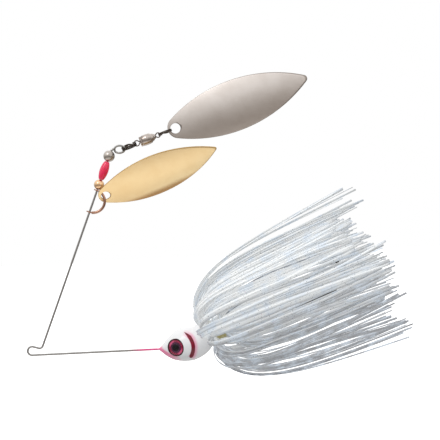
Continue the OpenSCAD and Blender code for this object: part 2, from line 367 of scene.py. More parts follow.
def cut_out(obj, shape):
    """Takes a shape out of an object's mesh."""
    tool = in_scene("cutter", mesh_of("cutter", shape))
    cut = obj.modifiers.new("cut", "BOOLEAN")
    cut.operation, cut.solver, cut.object = "DIFFERENCE", "EXACT", tool
    bpy.context.view_layer.update()
    view = bpy.context.evaluated_depsgraph_get()
    done = bpy.data.meshes.new_from_object(obj.evaluated_get(view))
    obj.modifiers.clear()
    obj.data = done
    bpy.data.objects.remove(tool)


# ---------------------------------------------------------------- materials


def put(tree, kind, values=None, **settings):
    """Adds a shader node, with its inputs set to values or linked to sockets."""
    made = tree.nodes.new("ShaderNode" + kind)
    for key, value in settings.items():
        setattr(made, key, value)
    for key, value in (values or {}).items():
        if isinstance(value, bpy.types.NodeSocket):
            tree.links.new(value, made.inputs[key])
        else:
            made.inputs[key].default_value = value
    return made


def calc(tree, operation, a, b=0.0, c=0.0, clamp=False):
    made = put(tree, "Math", {0: a, 1: b, 2: c}, operation=operation, use_clamp=clamp)
    return made.outputs[0]


def step_up(tree, value, low, high):
    """0 below low, 1 above high, smooth between. low above high turns it round."""
    if low > high:
        return calc(tree, "SUBTRACT", 1.0, step_up(tree, value, high, low))
    made = put(
        tree,
        "MapRange",
        {"Value": value, "From Min": low, "From Max": high},
        interpolation_type="SMOOTHSTEP",
    )
    return made.outputs["Result"]


def blend(tree, share, a, b, kind="MIX"):
    made = put(tree, "Mix", {0: share, 6: a, 7: b}, data_type="RGBA", blend_type=kind)
    return made.outputs[2]


def rgb(r, g, b):
    """Linear colour from display values out of 255."""
    def linear(v):
        v /= 255
        return v / 12.92 if v <= 0.04045 else ((v + 0.055) / 1.055) ** 2.4

    return (linear(r), linear(g), linear(b), 1.0)


def material(name, colour, roughness, metallic=0.0, **more):
    """A Principled material. Returns the material, its tree, its shader and its place."""
    mat = bpy.data.materials.new(name)
    mat.use_nodes = True
    tree = mat.node_tree
    shader = tree.nodes["Principled BSDF"]
    shader.inputs["Base Color"].default_value = colour
    shader.inputs["Roughness"].default_value = roughness
    shader.inputs["Metallic"].default_value = metallic
    for key, value in more.items():
        shader.inputs[key.replace("_", " ")].default_value = value
    place = put(tree, "TexCoord").outputs["Object"]
    return mat, tree, shader, place


def noise(tree, place, scale, detail=3.0, rough=0.5, stretch=None):
    """Noise whose scale counts per metre."""
    if stretch:
        place = put(
            tree, "Mapping", {"Vector": place, "Rotation": stretch[0], "Scale": stretch[1]}
        ).outputs[0]
    made = put(
        tree,
        "TexNoise",
        {"Vector": place, "Scale": scale, "Detail": detail, "Roughness": rough},
    )
    return made.outputs["Fac"]


def bump(tree, shader, height, distance):
    made = put(tree, "Bump", {"Height": height, "Distance": distance, "Strength": 1.0})
    tree.links.new(made.outputs[0], shader.inputs["Normal"])


def varied(tree, shader, share, a, b, rough=None):
    """Mixes two base colours by a share, and two roughnesses with it."""
    tree.links.new(blend(tree, share, a, b), shader.inputs["Base Color"])
    if rough:
        low, high = rough
        value = calc(tree, "MULTIPLY_ADD", share, high - low, low)
        tree.links.new(value, shader.inputs["Roughness"])


def in_frame_of(tree, place, matrix):
    """Object coordinates turned into another frame's axes, in millimetres."""
    inverse = matrix.inverted()
    rows = []
    for i in range(3):
        dot = put(tree, "VectorMath", {0: place, 1: inverse[i][:3]}, operation="DOT_PRODUCT")
        rows.append(
            calc(tree, "MULTIPLY_ADD", dot.outputs["Value"], 1 / MM, inverse[i][3])
        )
    return rows


def metal(name, colour, dark, roughness, grain=0.0, scratch=900.0):
    """Plated metal with a faint mottle and fine handling marks."""
    mat, tree, shader, place = material(name, colour, roughness, 1.0)
    mottle = noise(tree, place, scratch * 0.25, 4.0, 0.6)
    share = step_up(tree, mottle, 0.35, 0.7)
    varied(tree, shader, share, colour, dark, (roughness, roughness + 0.12))
    if grain:
        fine = noise(tree, place, scratch * 4, 2.0, 0.5)
        bump(tree, shader, fine, grain)
    return mat


def wire_material():
    """Stainless wire, with the head's pink paint run on to it at the nose."""
    mat, tree, shader, place = material("stainless_wire", rgb(150, 148, 145), 0.3, 1.0)
    parts = put(tree, "SeparateXYZ", {0: place}).outputs
    x = calc(tree, "MULTIPLY", parts[0], 1 / MM)
    z = calc(tree, "MULTIPLY", parts[2], 1 / MM)
    patch = calc(tree, "MULTIPLY_ADD", noise(tree, place, 260.0), 2.4, x)
    along = step_up(tree, patch, NOSE.x - 10.5, NOSE.x - 3.5)
    low = step_up(tree, z, 4.0, 1.0)
    paint = calc(tree, "MULTIPLY", along, low)
    drawn = noise(tree, place, 2600.0, 3.0, 0.6)
    steel = blend(tree, drawn, rgb(112, 109, 106), rgb(176, 174, 171))
    tree.links.new(
        blend(tree, paint, steel, rgb(238, 96, 150)), shader.inputs["Base Color"]
    )
    tree.links.new(calc(tree, "SUBTRACT", 1.0, paint), shader.inputs["Metallic"])
    tree.links.new(
        calc(tree, "MULTIPLY_ADD", drawn, 0.18, 0.22), shader.inputs["Roughness"]
    )
    bump(tree, shader, drawn, 0.00001)
    return mat


def head_material():
    """White gloss paint with an airbrushed pink nose and chin and a red gill stroke."""
    white = rgb(247, 247, 248)
    mat, tree, shader, place = material(
        "head_paint", white, 0.16, 0.0, Specular_IOR_Level=0.3,
        Coat_Weight=0.2, Coat_Roughness=0.06
    )
    t, _, z = in_frame_of(tree, place, on_shank(0))
    soft = calc(tree, "SUBTRACT", noise(tree, place, 420.0, 4.0), 0.5)

    # Pink: all round the nose, running back along the chin
    chin = calc(tree, "POWER", calc(tree, "MAXIMUM", t, 0.0), 0.63)
    depth = calc(tree, "ADD", z, calc(tree, "MULTIPLY_ADD", chin, 1.9, 0.57))
    below = step_up(tree, calc(tree, "MULTIPLY_ADD", soft, 0.9, depth), 3.0, 1.5)
    near = step_up(tree, calc(tree, "MULTIPLY_ADD", soft, 2.0, t), 7.0, 3.0)
    nose = step_up(tree, calc(tree, "MULTIPLY_ADD", soft, 1.0, t), 1.3, 0.1)
    pink = calc(tree, "MAXIMUM", calc(tree, "MULTIPLY", below, near), nose)
    colour = blend(tree, calc(tree, "MULTIPLY", pink, 0.9), white, rgb(250, 122, 170))

    # Gill: a stroke of a circle, pointed above and blunt below, with a halo behind it
    gill_t, gill_z, gill_r = 5.65, -0.92, 6.05
    dt = calc(tree, "SUBTRACT", t, gill_t)
    dz = calc(tree, "SUBTRACT", z, gill_z)
    square = calc(tree, "ADD", calc(tree, "MULTIPLY", dt, dt), calc(tree, "MULTIPLY", dz, dz))
    reach = calc(tree, "SQRT", square)
    angle = calc(tree, "MULTIPLY", calc(tree, "ARCTAN2", dz, dt), 180 / math.pi)
    above = calc(tree, "DIVIDE", calc(tree, "SUBTRACT", 47.0, angle), 26.0, clamp=True)
    under = calc(tree, "DIVIDE", calc(tree, "ADD", angle, 54.0), 6.0, clamp=True)
    lens = calc(tree, "MINIMUM", calc(tree, "POWER", above, 0.8), calc(tree, "SQRT", under))
    half_width = calc(tree, "MULTIPLY", lens, 0.72)
    middle = calc(tree, "MULTIPLY_ADD", soft, 0.25, gill_r)
    off = calc(tree, "ABSOLUTE", calc(tree, "SUBTRACT", reach, middle))
    stroke = step_up(tree, calc(tree, "SUBTRACT", half_width, off), 0.0, 0.14)
    stroke = calc(tree, "MULTIPLY", stroke, step_up(tree, lens, 0.02, 0.1))
    halo_off = calc(tree, "SUBTRACT", calc(tree, "SUBTRACT", reach, gill_r), half_width)
    outside = step_up(tree, halo_off, 1.3, 0.0)
    inside = step_up(tree, halo_off, -1.7, -1.2)
    halo = calc(tree, "MULTIPLY", calc(tree, "MULTIPLY", outside, inside), lens)
    colour = blend(tree, calc(tree, "MULTIPLY", halo, 0.8), colour, rgb(244, 150, 184))
    red = blend(tree, step_up(tree, soft, -0.1, 0.2), rgb(112, 2, 32), rgb(142, 10, 46))
    colour = blend(tree, stroke, colour, red)
    tree.links.new(colour, shader.inputs["Base Color"])
    peel = noise(tree, place, 1500.0, 2.0)
    bump(tree, shader, peel, 0.000012)
    return mat


def eye_material():
    """Printed foil: black pupil, crimson iris with fine rays, dark rim. UV is in radii."""
    mat, tree, shader, _ = material("eye_foil", rgb(150, 20, 50), 0.5, 0.0, Specular_IOR_Level=0.1)
    uv = put(tree, "TexCoord").outputs["UV"]
    parts = put(tree, "SeparateXYZ", {0: uv}).outputs
    x = calc(tree, "MULTIPLY_ADD", parts[0], 2.0, -1.03)
    y = calc(tree, "MULTIPLY_ADD", parts[1], 2.0, -1.0)
    r = calc(
        tree, "SQRT", calc(tree, "ADD", calc(tree, "MULTIPLY", x, x), calc(tree, "MULTIPLY", y, y))
    )
    angle = calc(tree, "ARCTAN2", y, x)
    rays = put(
        tree, "TexNoise", {"W": calc(tree, "MULTIPLY", angle, 9.0), "Scale": 1.0, "Detail": 2.0},
        noise_dimensions="1D",
    ).outputs["Fac"]
    iris = blend(tree, step_up(tree, rays, 0.35, 0.65), rgb(120, 14, 46), rgb(158, 38, 76))
    arcs = calc(tree, "ABSOLUTE", calc(tree, "SINE", calc(tree, "SUBTRACT", angle, 0.55)))
    iris = blend(tree, step_up(tree, arcs, 0.75, 1.0), iris, rgb(206, 84, 122))
    inner = blend(tree, step_up(tree, r, 0.55, 0.68), rgb(70, 24, 56), iris)
    ringed = blend(tree, step_up(tree, r, 0.78, 0.88), inner, rgb(50, 4, 20))
    full = blend(tree, step_up(tree, r, 0.32, 0.46), rgb(6, 2, 6), ringed)
    tree.links.new(full, shader.inputs["Base Color"])
    return mat


def strand_material():
    """Clear-white silicone with dark pepper and holographic fleck. U is a tone, which carries
    painted shade on the lower strands, V runs down.
    """
    mat, tree, shader, place = material(
        "skirt_silicone", rgb(228, 233, 235), 0.24, 0.0, Specular_IOR_Level=0.6,
    )
    uv = put(tree, "SeparateXYZ", {0: put(tree, "TexCoord").outputs["UV"]}).outputs
    tone, down = uv[0], uv[1]
    # on the lower strands the tone's dark end is painted shade
    body = blend(tree, tone, rgb(253, 255, 255), rgb(170, 172, 177))
    body = blend(tree, step_up(tree, tone, 0.92, 0.97), body, rgb(136, 140, 148))
    cloud = noise(tree, place, 240.0, 3.0)
    body = blend(tree, step_up(tree, cloud, 0.4, 0.75), body, rgb(232, 243, 255))

    cells = put(tree, "TexVoronoi", {"Vector": place, "Scale": 2100.0})
    dot = step_up(tree, cells.outputs["Distance"], 0.34, 0.24)
    pick = put(tree, "SeparateColor", {0: cells.outputs["Color"]}).outputs
    pepper = calc(tree, "MULTIPLY", dot, step_up(tree, pick[0], 0.80, 0.84))
    body = blend(tree, calc(tree, "MULTIPLY", pepper, 0.75), body, rgb(84, 90, 100))
    glint = calc(tree, "MULTIPLY", dot, step_up(tree, pick[1], 0.93, 0.96))
    hue = put(tree, "CombineColor", {0: pick[2], 1: 0.45, 2: 0.95}, mode="HSV").outputs[0]
    body = blend(tree, calc(tree, "MULTIPLY", glint, 0.45), body, hue)
    tip = step_up(tree, down, 0.86, 0.98)
    body = blend(tree, calc(tree, "MULTIPLY", tip, 0.6), body, rgb(130, 130, 136))
    tree.links.new(body, shader.inputs["Base Color"])
    fine = noise(tree, place, 5200.0, 2.0)
    bump(tree, shader, fine, 0.00001)
    return mat


def blade_material(name, colour, dark, edge, painted_shade, reach, roughness, along, strength):
    """Plated blade: fine polishing lines along it, a soft mottle, a darker rim, and painted shade
    towards its lower edge.
    """
    mat, tree, shader, place = material(name, colour, roughness, 1.0)
    angle = -math.atan2(along.z, along.x)
    lines = noise(
        tree, place, 1.0, 4.0, 0.6, ((0, -angle, 0), (180.0, 2600.0, 2600.0))
    )
    mottle = noise(tree, place, 160.0, 4.0, 0.6)
    share = step_up(tree, mottle, 0.35, 0.7)
    base = blend(tree, calc(tree, "MULTIPLY", share, 0.6), colour, dark)
    across, side, _ = put(
        tree, "SeparateXYZ", {0: put(tree, "TexCoord").outputs["UV"]}
    ).outputs
    # painted shade: the base darkens towards the blade's lower edge, by the UV's V, across the span
    # given in reach
    painted_shade_base = blend(tree, 1.0, base, painted_shade, "MULTIPLY")
    base = blend(tree, step_up(tree, side, *reach), base, painted_shade_base)
    # a darker rim round the outline and the hole
    rim = calc(tree, "MAXIMUM", step_up(tree, across, 0.978, 1.0), step_up(tree, across, 0.02, 0.0))
    rimmed = blend(tree, calc(tree, "MULTIPLY", rim, 0.85), base, edge)
    tree.links.new(rimmed, shader.inputs["Base Color"])
    rough = calc(tree, "MULTIPLY_ADD", lines, 0.14, roughness - 0.05)
    tree.links.new(rough, shader.inputs["Roughness"])
    bump(tree, shader, lines, strength)
    return mat


def gloss_plastic(name, colour, deep):
    mat, tree, shader, place = material(
        name, colour, 0.2, 0.0, Coat_Weight=0.4, Coat_Roughness=0.08,
        Subsurface_Weight=0.2, Subsurface_Scale=0.001,
    )
    share = step_up(tree, noise(tree, place, 500.0, 3.0), 0.35, 0.7)
    varied(tree, shader, share, colour, deep)
    bump(tree, shader, noise(tree, place, 1800.0), 0.000015)
    return mat


def collar_material():
    mat, tree, shader, place = material("collar_latex", rgb(214, 206, 150), 0.5)
    share = step_up(tree, noise(tree, place, 700.0, 4.0), 0.3, 0.7)
    varied(tree, shader, share, rgb(218, 210, 156), rgb(186, 174, 116), (0.42, 0.6))
    bump(tree, shader, noise(tree, place, 3000.0), 0.00003)
    return mat


def resin_material():
    white = (1, 1, 1, 1)
    return material("eye_resin", white, 0.03, 0.0, Transmission_Weight=1.0, IOR=1.3)[0]


WIRE = wire_material()
HEAD_PAINT = head_material()
EYE_FOIL = eye_material()
RESIN = resin_material()
LATEX = collar_material()
SILICONE = strand_material()
HOOK_STEEL = metal("hook_steel", rgb(92, 88, 84), rgb(60, 57, 54), 0.3, 0.00001)
COPPER = metal("copper_wire", rgb(188, 146, 124), rgb(124, 88, 72), 0.22, 0.00001)
GOLD_BEAD = metal("gold_bead_metal", rgb(238, 202, 162), rgb(214, 170, 128), 0.16)
SILVER_BEAD = metal("silver_bead_metal", rgb(190, 182, 174), rgb(150, 142, 135), 0.18)
RED_BEAD = gloss_plastic("red_bead_gloss", rgb(244, 26, 88), rgb(226, 18, 72))
DARK_RING = metal("black_nickel", rgb(84, 76, 70), rgb(52, 46, 42), 0.24, 0.00001)
SWIVEL = metal("swivel_nickel", rgb(186, 176, 168), rgb(122, 111, 103), 0.2, 0.000012)
EYE_WIRE = metal("swivel_eye_wire", rgb(110, 98, 90), rgb(72, 62, 56), 0.24, 0.00001)
BALLS = metal("ball_steel", rgb(190, 190, 190), rgb(160, 160, 160), 0.12)


# ---------------------------------------------------------------- wire, head and hook


def wire_path():
    """Centreline of the whole wire, from inside the head to the end of its loop."""
    a, b = LOOP_HALF
    c = a - LOOP_END_R
    side_r = (c * c + b * b - LOOP_END_R**2) / (2 * (b - LOOP_END_R))
    bend = math.degrees(math.atan2(side_r - b, c))
    top = LOOP_C + Vector((0, 0, b - side_r))
    low = LOOP_C + Vector((0, 0, side_r - b))
    path = [NOSE + Vector((4, 0, 0))]
    path += arc(Vector((0, 0, 0)), TIE_R, 270, 90 - DIP_ANGLE)
    path += arc(FOOT_C, FOOT_R, -90 - DIP_ANGLE, ARM_ANGLE - 90)
    path += [ARM_END - 6 * ARM]
    start = LOOP_C + LOOP_END_R * heading(155) - Vector((c, 0, 0))
    path += smooth_path(
        [ARM_END - 1.2 * ARM, ARM_END - 0.2 * ARM, ARM_END.lerp(start, 0.45), start], 5
    )
    path += arc(top, side_r, 180 - bend, bend)
    path += arc(LOOP_C + Vector((c, 0, 0)), LOOP_END_R, bend, -bend)[1:]
    tail = arc(low, side_r, -bend, bend - 180)[1:]
    tail += arc(LOOP_C - Vector((c, 0, 0)), LOOP_END_R, 180 + bend, 165, 12)[1:]
    # the wire's end passes behind its neck
    behind = WIRE_D * 1.02
    for i, p in enumerate(tail):
        share = min(1.0, max(0.0, (i - 4) / (len(tail) - 8)))
        p.y = behind * share * share * (3 - 2 * share)
    return path + tail


def build_wire():
    shape = Shape()
    shape.sweep(wire_path(), oval(WIRE_D / 2, WIRE_D / 2, 16))
    piece("wire", shape, WIRE, "frame", "wire_frame")


# Head sections along the shank: place, top, bottom and half width
HEAD_SECTIONS = [
    (-0.9, 0.37, -0.37, 0.37),
    (-0.2, 0.46, -0.56, 0.50),
    (0.5, 0.78, -1.55, 0.98),
    (1.5, 1.42, -2.95, 2.00),
    (2.8, 2.35, -4.35, 3.30),
    (4.3, 3.28, -5.42, 4.45),
    (7.0, 4.50, -6.62, 5.65),
    (10.3, 5.02, -7.25, 6.15),
    (13.6, 4.55, -6.78, 5.65),
    (16.2, 3.45, -5.72, 4.20),
    (HEAD_LEN, 2.31, -4.71, 2.90),
]


def eye_seat(side):
    """Floor of an eye's socket, with +Z out of the head. side is -1 on the left."""
    t, y, z = EYE_PLACE
    return (
        on_shank(0)
        @ shift(t, side * y, z)
        @ turn(side * EYE_TILT, "Z")
        @ turn(-side * 90, "X")
        @ shift(z=-EYE_SINK)
    )


def head_rings(steps):
    """Rings of the head, from its nose to its back, which turns in round an edge."""
    spine = smooth_path([Vector(s[:3]) for s in HEAD_SECTIONS], 8)
    width = smooth_path([Vector((s[0], s[3], 0)) for s in HEAD_SECTIONS], 8)
    place = on_shank(0)
    rings = []
    for (t, top, low), (_, half, _) in zip(spine, width):
        middle, rise = (top + low) / 2, (top - low) / 2
        # the nose turns from the shank's direction to the lower arm's
        lift = 0.17 * max(0.0, 0.3 - t) ** 2
        rings.append(
            [
                place
                @ Vector(
                    (
                        t,
                        half * math.cos(2 * math.pi * k / steps),
                        middle + lift + rise * math.sin(2 * math.pi * k / steps),
                    )
                )
                for k in range(steps)
            ]
        )
    last = rings[-1]
    for past, share in ((0.12, 0.93), (0.16, 0.84), (0.16, 0.5)):
        hub = sum(last, Vector()) / steps + past * SHANK
        rings.append([hub + share * (p + past * SHANK - hub) for p in last])
    return rings


def build_head():
    shape = Shape()
    shape.rings(head_rings(96))
    head = piece("lead_head", shape, HEAD_PAINT, "frame", "head")
    for side in (-1, 1):
        socket = Shape()
        socket.lathe([(0, SOCKET_R), (4, SOCKET_R)], eye_seat(side) @ turn(-90, "Y"), 96)
        cut_out(head, socket)
    smooth(head.data, 35)


def build_keeper():
    """Post behind the head that ends in a barb, to keep the skirt on."""
    outer = [
        (-0.5, AXIS_R), (-0.5, KEEPER_R), (6.2, KEEPER_R), (6.3, BARB_R), (6.5, BARB_R),
        (7.1, KEEPER_R), (7.1, AXIS_R),
    ]
    shape = Shape()
    shape.lathe(fillet(outer, 0.12), on_shank(HEAD_LEN), 48)
    piece("keeper_post", shape, HEAD_PAINT, "frame", "head")


def build_eyes():
    """In each socket, a flat foil disc under a clear cap that is part of a ball."""
    steps = 64
    around = [2 * math.pi * k / steps for k in range(steps)]
    ball_r = (EYE_R**2 + EYE_RISE**2) / (2 * EYE_RISE)
    edge = math.asin(EYE_R / ball_r)
    foot = EYE_DISC_T - 0.1
    profile = [(foot, AXIS_R), (foot, EYE_R * 0.98)]
    for i in range(15):
        a = edge * (1 - i / 14)
        rise = EYE_DISC_T + EYE_RISE - ball_r * (1 - math.cos(a))
        profile.append((max(rise, EYE_DISC_T + 0.03), max(AXIS_R, ball_r * math.sin(a))))
    for side, word in ((-1, "left"), (1, "right")):
        place = eye_seat(side)
        rings, uvs = [], []
        for r, z in ((EYE_R, 0.0), (EYE_R, EYE_DISC_T), (EYE_R / 2, EYE_DISC_T)):
            flat = [Vector((r * math.cos(a), r * math.sin(a), z)) for a in around]
            rings.append([place @ p for p in flat])
            uvs += [(0.5 + p.x / EYE_R / 2, 0.5 + p.y / EYE_R / 2) for p in flat]
        disc, dome = Shape(), Shape()
        disc.rings(rings, uvs)
        dome.lathe(profile, place @ turn(-90, "Y"), steps)
        piece(f"eye_foil_{word}", disc, EYE_FOIL, "frame", f"eye_disc_{word}", 30)
        piece(f"eye_lens_{word}", dome, RESIN, "frame", f"eye_dome_{word}", 50)


def build_collar():
    """Latex band with three shallow grooves."""
    groove_step = (COLLAR_LEN - 0.4) / 3.5
    outer = [(0, 2.75), (0, 2.95)]
    for i in range(4):
        x = 0.2 + i * groove_step
        outer += [(x, 3.0), (x + 0.35, 3.02), (x + 0.7, 3.0), (x + 0.95, 2.86)]
    outer = [p for p in outer if p[0] < COLLAR_LEN - 0.15]
    outer += [(COLLAR_LEN - 0.1, 2.98), (COLLAR_LEN, 2.85), (COLLAR_LEN, 2.6)]
    shape = Shape()
    shape.lathe(bored_profile(outer, COLLAR_BORE_R), on_shank(COLLAR_T), 64, closed=True)
    piece("collar_band", shape, LATEX, "frame", "skirt_collar")


# ---------------------------------------------------------------- skirt

SKIRT_LEAN = 4.5
SKIRT_AXIS = seat(NOSE + HEAD_LEN * SHANK, heading(SHANK_ANGLE + SKIRT_LEAN))
SKIRT_REACH = 66.0
SKIRT_HALF_HEIGHT = 29.0
SKIRT_HALF_DROP = 27.0
SKIRT_HALF_DEPTH = 21.0
LOCKS = 52
STRAND = (0.42, 0.17)
# Where the inner and the outer strands leave the collar, along the skirt's axis
INNER_ROOT, OUTER_ROOT = 5.8, 1.9
HOOK_CLEAR = 1.15
HOOK_COVER = ((0.3, 0.43), (0.22, 0.49), (0.32, 0.55), (0.24, 0.61), (0.28, 0.22))
# Towards their tips the strands draw together into clumps, one above the other
CLUMP_PITCH, CLUMP_GAP, CLUMP_PULL = 11.0, -5.5, 1.4


def strand_line(end_s, end_r, start_s, start_angle, curl, power):
    """Distance along the skirt's axis and radius of a strand that leaves the collar at a
    steep angle and bends back. Its last direction is found so that it ends at end_r."""
    step = 0.5

    def run(last_angle):
        s, r, length, line = start_s, 2.9, 0.0, [(start_s, 2.9)]
        while s < end_s and length < 110:
            fade = math.exp(-((length / curl) ** power))
            angle = last_angle + (start_angle - last_angle) * fade
            s += step * math.cos(math.radians(angle))
            r += step * math.sin(math.radians(angle))
            length += step
            line.append((s, r))
        return line

    low, high = -40.0, 60.0
    for _ in range(24):
        middle = (low + high) / 2
        if run(middle)[-1][1] > end_r:
            high = middle
        else:
            low = middle
    return run((low + high) / 2)


def strand_tone(height):
    """Tone of a strand: painted shade, lighter towards the top and darker towards the bottom, over
    a random spread, with a few dark ones anywhere.
    """
    if rng.random() < 0.05 and height < 0.4:
        return 1.0
    painted_shade_lean = 0.5 * height if height > 0 else 1.2 * height
    return min(0.9, max(0.0, 0.12 - painted_shade_lean + rng.uniform(-0.36, 0.36)))


def lock_places():
    """Where the locks end, as shares of the skirt's half depth and half height."""
    golden = math.pi * (3 - math.sqrt(5))
    places = []
    for i in range(LOCKS):
        share, angle = math.sqrt((i + 0.6) / LOCKS), i * golden + 0.35
        places.append((share * math.sin(angle), share * math.cos(angle)))
    # five locks a side hang over the hook's point and bend
    return places + [(y * side, z) for side in (-1, 1) for y, z in HOOK_COVER]


def hook_room(s, z):
    """How far a strand keeps from the hook's plane."""
    room = HOOK_CLEAR * min(1.0, max(0.0, (s - 4) / 6))
    return room * min(1.0, max(0.0, 9.5 - abs(z - 5) + 2) / 4)


def strand_path(line, radial, across, spread, pull, side):
    """Lays a strand's line out in space, with a slow wave and its pull into a clump."""
    wave = rng.uniform(0.1, 0.55)
    phase = rng.uniform(0, 2 * math.pi)
    wave_len = rng.uniform(34, 60)
    path = []
    for s, r in line[:28:2] + line[28::6] + line[-1:]:
        down = max(0.0, s) / SKIRT_REACH
        fan = spread * (0.42 + 0.75 * down * down)
        sway = wave * down * math.sin(2 * math.pi * s / wave_len + phase)
        p = Vector((s, 0, 0)) + r * radial + (fan + sway) * across
        p.z += pull * down * down
        room = hook_room(s, p.z)
        p.y = side * (math.hypot(p.y, room) if side * p.y > 0 else room)
        path.append(p)
    return path


def build_lock(y, z, shapes):
    """Three to seven strands that leave the collar together and end side by side."""
    share, turn_to = math.hypot(y, z), math.atan2(y, z)
    upward = math.cos(turn_to)
    sparse = abs(share * upward) > 0.72
    count = rng.choice((4, 5, 5, 6, 7))
    if sparse:
        count = rng.choice((5, 6)) if upward > 0 else rng.choice((3, 4))
    # the strands that end a little above the axis are the shortest
    short = math.exp(-(((SKIRT_HALF_HEIGHT * share * upward - 15) / 7) ** 2))
    lock_end = SKIRT_REACH - 6.5 * short + rng.uniform(-5.0, 2.0)
    lock_end += 3.0 if sparse and upward > 0 else 0.0
    lock_twist = rng.uniform(-35, 35)
    high = (SKIRT_HALF_HEIGHT if upward > 0 else SKIRT_HALF_DROP) * share * upward
    deep = SKIRT_HALF_DEPTH * share * math.sin(turn_to)
    side = -1 if deep < 0 else 1
    radial = Vector((0, deep, high))
    reach = radial.length
    radial.normalize()
    across = Vector((1, 0, 0)).cross(radial)
    start_s = OUTER_ROOT if share > 0.55 else INNER_ROOT
    steep = 15 + (137 + 8 * max(0.0, upward) + 37 * min(0.0, upward)) * share**1.1
    curl = 9.6 + upward**2 * (4.6 if upward < 0 else 1.0)
    power = 2 - upward**2 * (0.9 if upward < 0 else 1.0)
    for k in range(count):
        spread = (k - (count - 1) / 2) * rng.uniform(0.75, 1.25) * (1.7 if sparse else 1)
        end_r = max(1.5, reach + rng.uniform(-1.6, 1.0))
        end_s = lock_end + rng.uniform(-4.5, 2.0)
        start_angle = steep + rng.uniform(-7, 7)
        line = strand_line(
            end_s, end_r, start_s, start_angle, curl + rng.uniform(-0.8, 0.8), power
        )
        tip_z = end_r * radial.z + 1.17 * spread * across.z
        pull = CLUMP_PULL * math.sin(2 * math.pi * (tip_z - CLUMP_GAP) / CLUMP_PITCH)
        path = strand_path(line, radial, across, spread, pull, side)
        swing = rng.uniform(-60, 60)
        # a round end adds three rings to each end of the path
        twist = [lock_twist + swing * j / len(path) for j in range(len(path) + 6)]
        shapes[side].sweep(
            path, oval(*STRAND, 8, 2.6), SKIRT_AXIS, up=radial, twist=twist,
            tone=strand_tone(share * upward),
        )


def build_skirt():
    shapes = {-1: Shape(), 1: Shape()}
    for y, z in lock_places():
        build_lock(y, z, shapes)
    for side, word in ((-1, "left"), (1, "right")):
        strands = piece(
            f"skirt_strands_{word}", shapes[side], SILICONE, "frame",
            f"skirt_{word}", 60,
        )
        # light passes through clear strands, so they don't darken each other
        strands.visible_diffuse = False


# ---------------------------------------------------------------- clevis, beads and blades


def build_clevis():
    """A bow of wire that ends on each side in an ear, bored for the arm."""
    place = seat(pivot("clevis_spin"), ARM)
    bow = arc(Vector((0, 0, 0)), CLEVIS_R, -166, -14, 4)
    shape = Shape()
    shape.sweep(bow, oval(*CLEVIS_WIRE, 14), place)
    ear = [
        (-0.2, 0.5), (-0.22, 0.98), (-0.1, 1.12), (0.08, 1.14), (0.22, 1.06),
        (0.16, 0.82), (0.16, 0.5),
    ]
    for side in (-1, 1):
        profile = [(side * x, r) for x, r in ear]
        shape.lathe(profile, place @ shift(side * CLEVIS_R), 40, closed=True)
    piece("clevis_bow", shape, COPPER, "clevis", "clevis")


def ball_profile(d, bore_r):
    """Outside of a bored ball, from mouth to mouth."""
    r = d / 2
    start = math.asin((bore_r + 0.1) / r)
    return [
        (-r * math.cos(a), r * math.sin(a))
        for a in (start + (math.pi - 2 * start) * i / 28 for i in range(29))
    ]


def bead(name, outer, node, mat):
    """A bored bead, threaded on the arm where its CAD node is."""
    low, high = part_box(node)
    shape = Shape()
    place = seat((low + high) / 2 / MM, ARM)
    shape.lathe(bored_profile(outer, BEAD_BORE_R), place, 64, closed=True)
    piece(name, shape, mat, node, node)


def build_beads():
    gold, silver = ball_profile(GOLD_D, BEAD_BORE_R), ball_profile(SILVER_D, BEAD_BORE_R)
    bead("gold_ball", gold, "gold_bead", GOLD_BEAD)
    bead("silver_ball", silver, "silver_bead", SILVER_BEAD)
    half, belly, end_r = BARREL_BEAD
    barrel = [
        (half * x, end_r + (belly - end_r) * (1 - x * x) ** 0.9)
        for x in (-1 + 2 * i / 28 for i in range(29))
    ]
    bead("red_barrel_bead", barrel, "red_bead", RED_BEAD)


